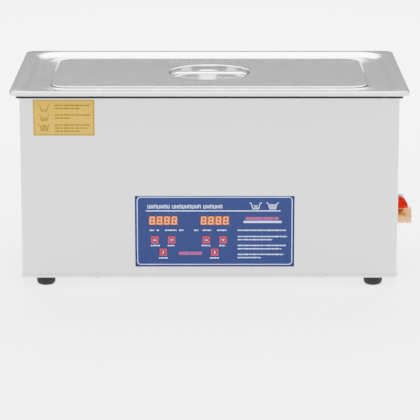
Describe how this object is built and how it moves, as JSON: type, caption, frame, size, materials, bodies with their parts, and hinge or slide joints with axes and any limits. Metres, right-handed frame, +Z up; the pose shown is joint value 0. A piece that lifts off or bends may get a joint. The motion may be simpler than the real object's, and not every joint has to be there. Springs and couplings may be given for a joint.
{
  "type": "ultrasonic cleaner",
  "caption": "Benchtop heated ultrasonic cleaner: rectangular steel tank in a sheet housing, lift-off lid, wire basket, digital control panel, side drain valve and mains cord.",
  "frame": {"origin": "on the floor under the middle of the object's box, the cord left out", "axes": "+X towards the drain valve along the length, -Y towards the control panel, +Z up"},
  "size_m": [0.548, 0.437, 0.2685],
  "materials": {
    "housing_steel": "satin",
    "bright_steel": "fine satin",
    "plated_steel": "zinc plated",
    "foot_rubber": "matt",
    "overlay_film": "printed film",
    "label_film": "printed vinyl",
    "plate_film": "printed film",
    "display_lens": "dark red",
    "circuit_board": "solder mask",
    "black_plastic": "moulded",
    "tinned_copper": "tinned",
    "aluminium": "turned",
    "piezo_ceramic": "fired",
    "dark_steel": "turned",
    "heater_silicone": "moulded",
    "brass": "turned",
    "ptfe": "turned",
    "wire_pvc": "extruded",
    "ball_chrome": "polished",
    "lever_red": "dipped vinyl",
    "fuse_glass": "clear",
    "key_red": "printed film",
    "cord_pvc": "extruded"
  },
  "bodies": {
    "root": {"housing": "housing_steel", "base_tray": "housing_steel", "tank": "bright_steel", "drain_spud": "bright_steel", "fan_guard": "bright_steel", "base_screws": "plated_steel", "hose_clamps": "plated_steel", "feet": "foot_rubber", "tank_seal": "foot_rubber", "drain_hose": "foot_rubber", "control_overlay": "overlay_film", "care_label": "label_film", "rating_plate": "plate_film", "led_displays": "display_lens", "display_board": "circuit_board", "generator_board": "circuit_board", "mains_inlet": "black_plastic", "fan_frame": "black_plastic", "key_switches": "black_plastic", "power_transistors": "black_plastic", "thermal_cutout": "black_plastic", "capacitors": "black_plastic", "transformer": "black_plastic", "inlet_pins": "tinned_copper", "electrode_rings": "tinned_copper", "choke": "tinned_copper", "transducer_horns": "aluminium", "heat_sink": "aluminium", "piezo_rings": "piezo_ceramic", "back_masses": "dark_steel", "transducer_bolts": "dark_steel", "heater_pads": "heater_silicone", "board_standoffs": "brass", "lock_nuts": "brass", "valve_body": "brass", "valve_seats": "ptfe", "wiring": "wire_pvc", "cord_connector": "cord_pvc", "cord_lead": "cord_pvc", "cord_hank": "cord_pvc", "cord_plug": "cord_pvc"},
    "valve": {"valve_ball": "ball_chrome", "valve_lever": "lever_red", "lever_nut": "plated_steel"},
    "fan": {"fan_rotor": "black_plastic"},
    "drawer": {"fuse_drawer": "black_plastic", "fuse": "fuse_glass"},
    "lid": {"lid": "bright_steel", "lid_handle": "bright_steel"},
    "basket": {"basket_rim": "bright_steel", "basket_floor": "bright_steel", "basket_walls": "bright_steel", "basket_handles": "bright_steel", "basket_legs": "bright_steel"},
    "temp_up": {"temp_up_key": "key_red"},
    "temp_down": {"temp_down_key": "key_red"},
    "temp_power": {"temp_power_key": "key_red"},
    "time_up": {"time_up_key": "key_red"},
    "time_down": {"time_down_key": "key_red"},
    "time_power": {"time_power_key": "key_red"}
  },
  "joints": [
    {"name": "lid_lift", "type": "slide", "parent": "root", "child": "lid", "axis": [0, 0, 1], "range_m": [0, 0.3]},
    {"name": "basket_lift", "type": "slide", "parent": "root", "child": "basket", "axis": [0, 0, 1], "range_m": [0, 0.165]},
    {"name": "valve_turn", "type": "hinge", "parent": "root", "child": "valve", "pos_m": [0.258, 0, 0.063], "axis": [0, 0, 1], "range_deg": [0, 90]},
    {"name": "fan_spin", "type": "hinge", "parent": "root", "child": "fan", "pos_m": [-0.199, 0, 0.026], "axis": [0, 0, 1], "continuous": true},
    {"name": "drawer_slide", "type": "slide", "parent": "root", "child": "drawer", "axis": [0, 1, 0], "range_m": [0, 0.015]},
    {"name": "temp_up_press", "type": "slide", "parent": "root", "child": "temp_up", "axis": [0, 1, 0], "range_m": [0, 0.0005], "stiffness_N_per_m": 800, "springref_m": -0.001},
    {"name": "temp_down_press", "type": "slide", "parent": "root", "child": "temp_down", "axis": [0, 1, 0], "range_m": [0, 0.0005], "stiffness_N_per_m": 800, "springref_m": -0.001},
    {"name": "temp_power_press", "type": "slide", "parent": "root", "child": "temp_power", "axis": [0, 1, 0], "range_m": [0, 0.0005], "stiffness_N_per_m": 800, "springref_m": -0.001},
    {"name": "time_up_press", "type": "slide", "parent": "root", "child": "time_up", "axis": [0, 1, 0], "range_m": [0, 0.0005], "stiffness_N_per_m": 800, "springref_m": -0.001},
    {"name": "time_down_press", "type": "slide", "parent": "root", "child": "time_down", "axis": [0, 1, 0], "range_m": [0, 0.0005], "stiffness_N_per_m": 800, "springref_m": -0.001},
    {"name": "time_power_press", "type": "slide", "parent": "root", "child": "time_power", "axis": [0, 1, 0], "range_m": [0, 0.0005], "stiffness_N_per_m": 800, "springref_m": -0.001}
  ],
  "couplings": [
    {"joint": "basket_lift", "follows": "lid_lift", "ratio": 0.55}
  ]
}
